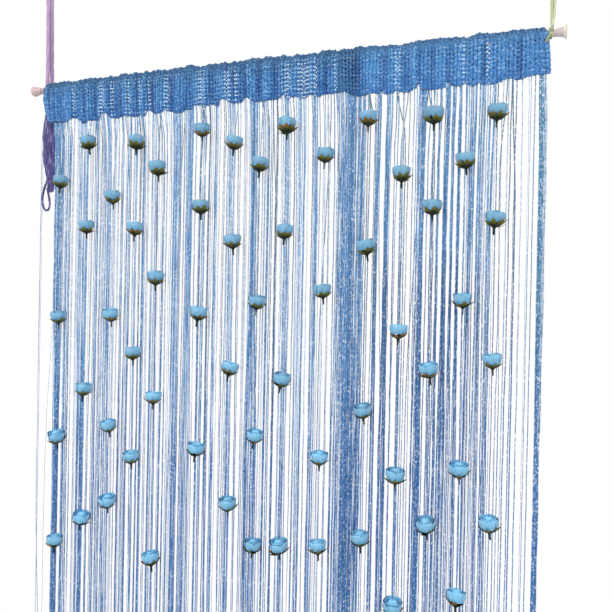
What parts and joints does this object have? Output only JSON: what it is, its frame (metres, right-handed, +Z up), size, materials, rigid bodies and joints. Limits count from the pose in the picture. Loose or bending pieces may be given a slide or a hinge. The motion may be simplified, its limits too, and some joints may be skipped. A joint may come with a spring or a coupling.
{
  "type": "string curtain with rod",
  "caption": "String curtain with satin rosebuds, its net heading gathered on a thin rod with flared end caps, hung by yarn ties.",
  "frame": {"origin": "middle of the rod's axis, from which the whole curtain hangs", "axes": "+X along the rod to the viewer's right, +Z up, the front with the roses faces -Y"},
  "size_m": [0.881, 0.0488, 2.2059],
  "materials": {
    "net": "knitted net, matt",
    "string": "flat yarn with fine metallic sparkle",
    "rose": "satin petals, green calyx",
    "rod": "satin pinkish brown",
    "cap": "satin dusty pink",
    "purple_yarn": "plied yarn",
    "green_yarn": "plied yarn"
  },
  "bodies": {
    "root": {"end_cap_left": "cap", "end_cap_right": "cap", "heading": "net", "knot_right": "green_yarn", "rod": "rod", "rose_string_01": "rose", "rose_string_02": "rose", "rose_string_03": "rose", "rose_string_04": "rose", "rose_string_05": "rose", "rose_string_06": "rose", "rose_string_07": "rose", "rose_string_08": "rose", "rose_string_09": "rose", "rose_string_10": "rose", "rose_string_11": "rose", "rose_string_12": "rose", "rose_string_13": "rose", "rose_string_14": "rose", "rose_string_15": "rose", "spare_hank": "purple_yarn", "spare_loop": "purple_yarn", "string_strip": "string", "tail_right": "green_yarn", "tie_left": "purple_yarn", "tie_right": "green_yarn", "wrap_left": "purple_yarn", "wrap_right": "green_yarn"}
  },
  "joints": []
}
